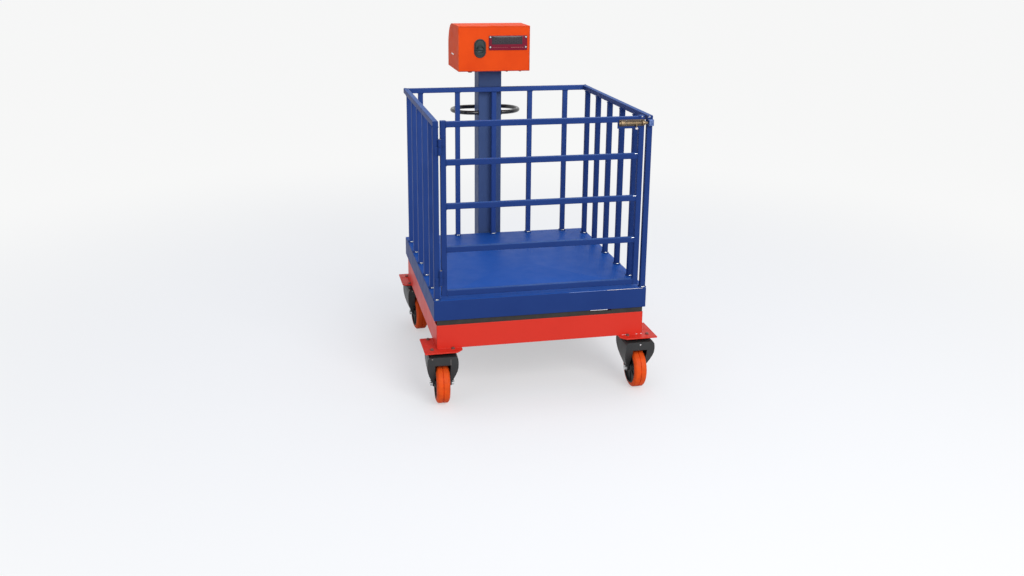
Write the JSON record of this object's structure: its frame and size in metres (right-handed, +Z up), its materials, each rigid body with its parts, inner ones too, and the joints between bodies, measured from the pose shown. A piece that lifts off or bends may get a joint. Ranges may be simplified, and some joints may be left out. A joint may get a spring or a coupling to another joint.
{
  "type": "livestock scale",
  "caption": "Mobile livestock scale: weighing deck with barred cage and latched swing gate, on swivel casters, with an indicator on a rear column and a push handle.",
  "frame": {"origin": "on the floor, in the middle of the whole object's length and width", "axes": "+Z up, +X to the right as seen from the gate, +Y from the gate to the column"},
  "size_m": [0.878, 1.1204, 1.2985],
  "materials": {
    "blue_enamel": "semi-gloss blue enamel",
    "red_enamel": "semi-gloss red enamel",
    "orange_enamel": "satin orange enamel",
    "black_pressed_steel": "black coated steel",
    "black_enamel": "gloss black enamel",
    "black_nylon": "moulded black nylon",
    "orange_polyurethane": "satin orange polyurethane",
    "brass_plated_steel": "dull brass plating",
    "dark_red_acrylic": "polished dark red acrylic",
    "circuit_board": "green circuit board",
    "black_abs": "satin moulded plastic",
    "dark_grey_rubber": "matt silicone rubber",
    "nickel_plated_steel": "nickel plated alloy steel",
    "grey_battery_case": "matt grey plastic"
  },
  "bodies": {
    "frame": {"back_bar_1": "blue_enamel", "back_bar_2": "blue_enamel", "back_bar_3": "blue_enamel", "back_bar_4": "blue_enamel", "back_bar_5": "blue_enamel", "cable_gland": "black_abs", "cage_back_rail": "blue_enamel", "cage_left_rail": "blue_enamel", "cage_right_rail": "blue_enamel", "caster_plate_front_left": "black_pressed_steel", "caster_plate_front_right": "black_pressed_steel", "caster_plate_rear_left": "black_pressed_steel", "caster_plate_rear_right": "black_pressed_steel", "chassis_front_channel": "red_enamel", "chassis_left_rail": "red_enamel", "chassis_rear_channel": "red_enamel", "chassis_right_rail": "red_enamel", "column": "blue_enamel", "deck_pan": "blue_enamel", "display_board": "circuit_board", "display_window": "dark_red_acrylic", "gate_hinge_post": "blue_enamel", "gate_latch_post": "blue_enamel", "indicator_battery": "grey_battery_case", "indicator_case": "orange_enamel", "indicator_end_cover": "orange_enamel", "key_bezel": "black_abs", "latch_keeper": "blue_enamel", "left_bar_1": "blue_enamel", "left_bar_2": "blue_enamel", "left_bar_3": "blue_enamel", "left_bar_4": "blue_enamel", "left_bar_5": "blue_enamel", "load_cell_front_left": "nickel_plated_steel", "load_cell_front_right": "nickel_plated_steel", "load_cell_rear_left": "nickel_plated_steel", "load_cell_rear_right": "nickel_plated_steel", "push_handle": "black_enamel", "right_bar_1": "blue_enamel", "right_bar_2": "blue_enamel", "right_bar_3": "blue_enamel", "right_bar_4": "blue_enamel", "right_bar_5": "blue_enamel"},
    "gate": {"gate_frame": "blue_enamel", "latch_body": "brass_plated_steel"},
    "latch_bolt": {"latch_bolt": "brass_plated_steel"},
    "key_tare": {"key_tare": "dark_grey_rubber"},
    "key_zero": {"key_zero": "dark_grey_rubber"},
    "fork_front_left": {"caster_fork_front_left": "black_pressed_steel"},
    "wheel_front_left": {"wheel_hub_front_left": "black_nylon", "tyre_front_left": "orange_polyurethane"},
    "fork_front_right": {"caster_fork_front_right": "black_pressed_steel"},
    "wheel_front_right": {"wheel_hub_front_right": "black_nylon", "tyre_front_right": "orange_polyurethane"},
    "fork_rear_left": {"caster_fork_rear_left": "black_pressed_steel"},
    "wheel_rear_left": {"wheel_hub_rear_left": "black_nylon", "tyre_rear_left": "orange_polyurethane"},
    "fork_rear_right": {"caster_fork_rear_right": "black_pressed_steel"},
    "wheel_rear_right": {"wheel_hub_rear_right": "black_nylon", "tyre_rear_right": "orange_polyurethane"}
  },
  "joints": [
    {"name": "gate_swing", "type": "hinge", "parent": "frame", "child": "gate", "pos_m": [-0.3742, -0.4919, 0.7135], "axis": [0, 0, -1], "range_deg": [0, 180]},
    {"name": "latch_slide", "type": "slide", "parent": "gate", "child": "latch_bolt", "axis": [1, 0, 0], "range_m": [0, 0.016]},
    {"name": "tare_press", "type": "slide", "parent": "frame", "child": "key_tare", "axis": [0, 1, 0], "range_m": [0, 0.002], "stiffness_N_per_m": 500},
    {"name": "zero_press", "type": "slide", "parent": "frame", "child": "key_zero", "axis": [0, 1, 0], "range_m": [0, 0.002], "stiffness_N_per_m": 500},
    {"name": "swivel_front_left", "type": "hinge", "parent": "frame", "child": "fork_front_left", "pos_m": [-0.371, -0.4426, 0.19], "axis": [0, 0, 1], "continuous": true},
    {"name": "roll_front_left", "type": "hinge", "parent": "fork_front_left", "child": "wheel_front_left", "pos_m": [-0.3732, -0.48454, 0.075], "axis": [0.9986, -0.0523, 0], "continuous": true},
    {"name": "swivel_front_right", "type": "hinge", "parent": "frame", "child": "fork_front_right", "pos_m": [0.371, -0.4426, 0.19], "axis": [0, 0, 1], "continuous": true},
    {"name": "roll_front_right", "type": "hinge", "parent": "fork_front_right", "child": "wheel_front_right", "pos_m": [0.371, -0.4846, 0.075], "axis": [1, 0, 0], "continuous": true},
    {"name": "swivel_rear_left", "type": "hinge", "parent": "frame", "child": "fork_rear_left", "pos_m": [-0.358, 0.3184, 0.19], "axis": [0, 0, 1], "continuous": true},
    {"name": "roll_rear_left", "type": "hinge", "parent": "fork_rear_left", "child": "wheel_rear_left", "pos_m": [-0.35507, 0.2765, 0.075], "axis": [0.9976, 0.0698, 0], "continuous": true},
    {"name": "swivel_rear_right", "type": "hinge", "parent": "frame", "child": "fork_rear_right", "pos_m": [0.358, 0.3184, 0.19], "axis": [0, 0, 1], "continuous": true},
    {"name": "roll_rear_right", "type": "hinge", "parent": "fork_rear_right", "child": "wheel_rear_right", "pos_m": [0.358, 0.2764, 0.075], "axis": [1, 0, 0], "continuous": true}
  ]
}
